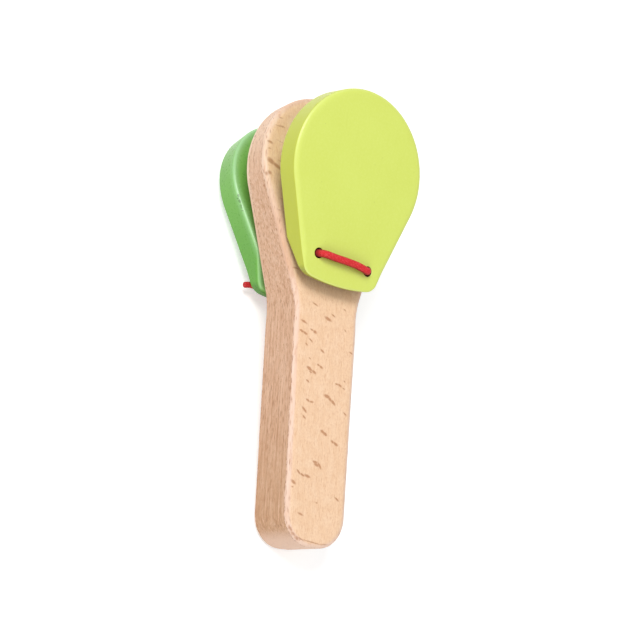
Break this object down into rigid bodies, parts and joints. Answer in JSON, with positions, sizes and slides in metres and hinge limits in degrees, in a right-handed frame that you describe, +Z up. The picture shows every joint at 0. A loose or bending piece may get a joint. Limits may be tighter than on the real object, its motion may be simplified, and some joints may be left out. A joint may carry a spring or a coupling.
{
  "type": "wooden hand clapper",
  "caption": "Wooden hand clapper: a flat grip widening into a thin paddle, with painted teardrop clappers tied to its faces by an elastic cord so that they rock and knock when shaken.",
  "frame": {"origin": "middle of the bounding box, on the table the clapper lies on", "axes": "+Y along the handle to the paddle's tip, +Z up from the table, with the lime clapper on top"},
  "size_m": [0.0566, 0.1566, 0.0547],
  "materials": {
    "beech": "sanded and lightly sealed",
    "lime_paint": "satin lime paint on wood",
    "green_paint": "satin green paint on wood",
    "red_elastic": "braided cover"
  },
  "bodies": {
    "handle": {"handle": "beech", "elastic_cord": "red_elastic"},
    "front_clapper": {"front_clapper": "lime_paint"},
    "rear_clapper": {"rear_clapper": "green_paint"}
  },
  "joints": [
    {"name": "front_rock", "type": "hinge", "parent": "handle", "child": "front_clapper", "pos_m": [0, 0.02091, 0.02855], "axis": [1, 0, 0], "range_deg": [-14.9, 12], "stiffness_Nm_per_rad": 0.4, "deforming": ["elastic_cord"]},
    {"name": "rear_rock", "type": "hinge", "parent": "handle", "child": "rear_clapper", "pos_m": [0, 0.02162, 0.01332], "axis": [-1, 0, 0], "range_deg": [-14.9, 12], "stiffness_Nm_per_rad": 0.4, "deforming": ["elastic_cord"]}
  ]
}
